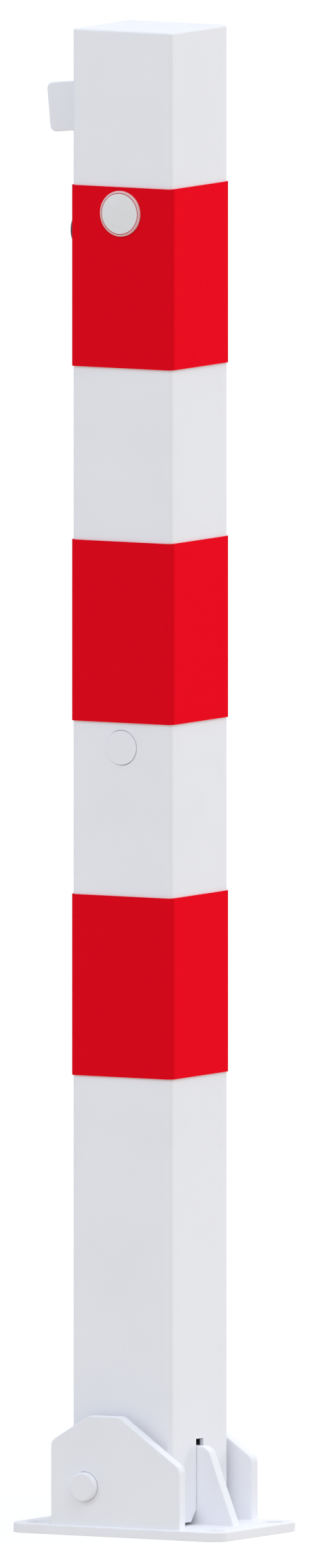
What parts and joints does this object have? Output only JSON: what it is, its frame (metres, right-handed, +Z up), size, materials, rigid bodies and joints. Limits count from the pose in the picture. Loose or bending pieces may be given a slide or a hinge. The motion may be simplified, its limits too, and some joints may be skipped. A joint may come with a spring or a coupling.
{
  "type": "fold-down bollard",
  "caption": "Square white post with red bands that folds down on a base hinge and locks upright with a rod dropped into a notched blade.",
  "frame": {"origin": "centre of the four anchor holes on the underside of the base plate", "axes": "+Z up along the upright post; the post folds down towards -X about a hinge along Y; +X is the locking blade's side"},
  "size_m": [0.15, 0.1034, 0.9225],
  "materials": {
    "white_powder_coat": "smooth semi-gloss powder coat on steel",
    "red_reflective_film": "smooth red reflective film band",
    "white_badge_plastic": "glossy domed plastic, bare",
    "plain_steel": "turned and milled mild steel",
    "zinc_plated_steel": "bright zinc plating",
    "black_steel": "blackened steel",
    "black_plastic": "matte black moulded plastic"
  },
  "bodies": {
    "base": {"base_plate": "white_powder_coat", "cheek_front": "white_powder_coat", "cheek_rear": "white_powder_coat", "locking_blade": "white_powder_coat"},
    "post": {"post_tube": "white_powder_coat", "top_cap": "white_powder_coat", "red_band_top": "red_reflective_film", "red_band_middle": "red_reflective_film", "red_band_bottom": "red_reflective_film", "badge_plate": "white_badge_plastic", "rest_foot": "white_powder_coat", "pivot_tube": "white_powder_coat", "hinge_pin": "white_powder_coat", "pivot_roll_pin": "zinc_plated_steel", "cross_bar": "white_powder_coat", "lower_guide": "plain_steel", "lock_housing": "zinc_plated_steel", "lock_nut": "zinc_plated_steel"},
    "rod": {"lock_rod": "zinc_plated_steel", "rod_yoke": "plain_steel", "yoke_pin": "zinc_plated_steel"},
    "lock": {"lock_barrel": "zinc_plated_steel", "lock_crank": "zinc_plated_steel", "crank_screw": "black_steel"},
    "cap": {"dust_cap": "black_plastic"}
  },
  "joints": [
    {"name": "fold", "type": "hinge", "parent": "base", "child": "post", "pos_m": [-0.0215, 0, 0.03], "axis": [0, -1, 0], "range_deg": [0, 88.4]},
    {"name": "rod_drop", "type": "slide", "parent": "post", "child": "rod", "axis": [0, 0, -1], "range_m": [0, 0.01414]},
    {"name": "lock_turn", "type": "hinge", "parent": "post", "child": "lock", "pos_m": [-0.038, 0, 0.7965], "axis": [1, 0, 0], "range_deg": [0, 90]},
    {"name": "cap_pull", "type": "slide", "parent": "post", "child": "cap", "axis": [-1, 0, 0], "range_m": [0, 0.014]}
  ],
  "couplings": [
    {"joint": "lock_turn", "follows": "rod_drop", "rad_per_m": 111.07}
  ]
}
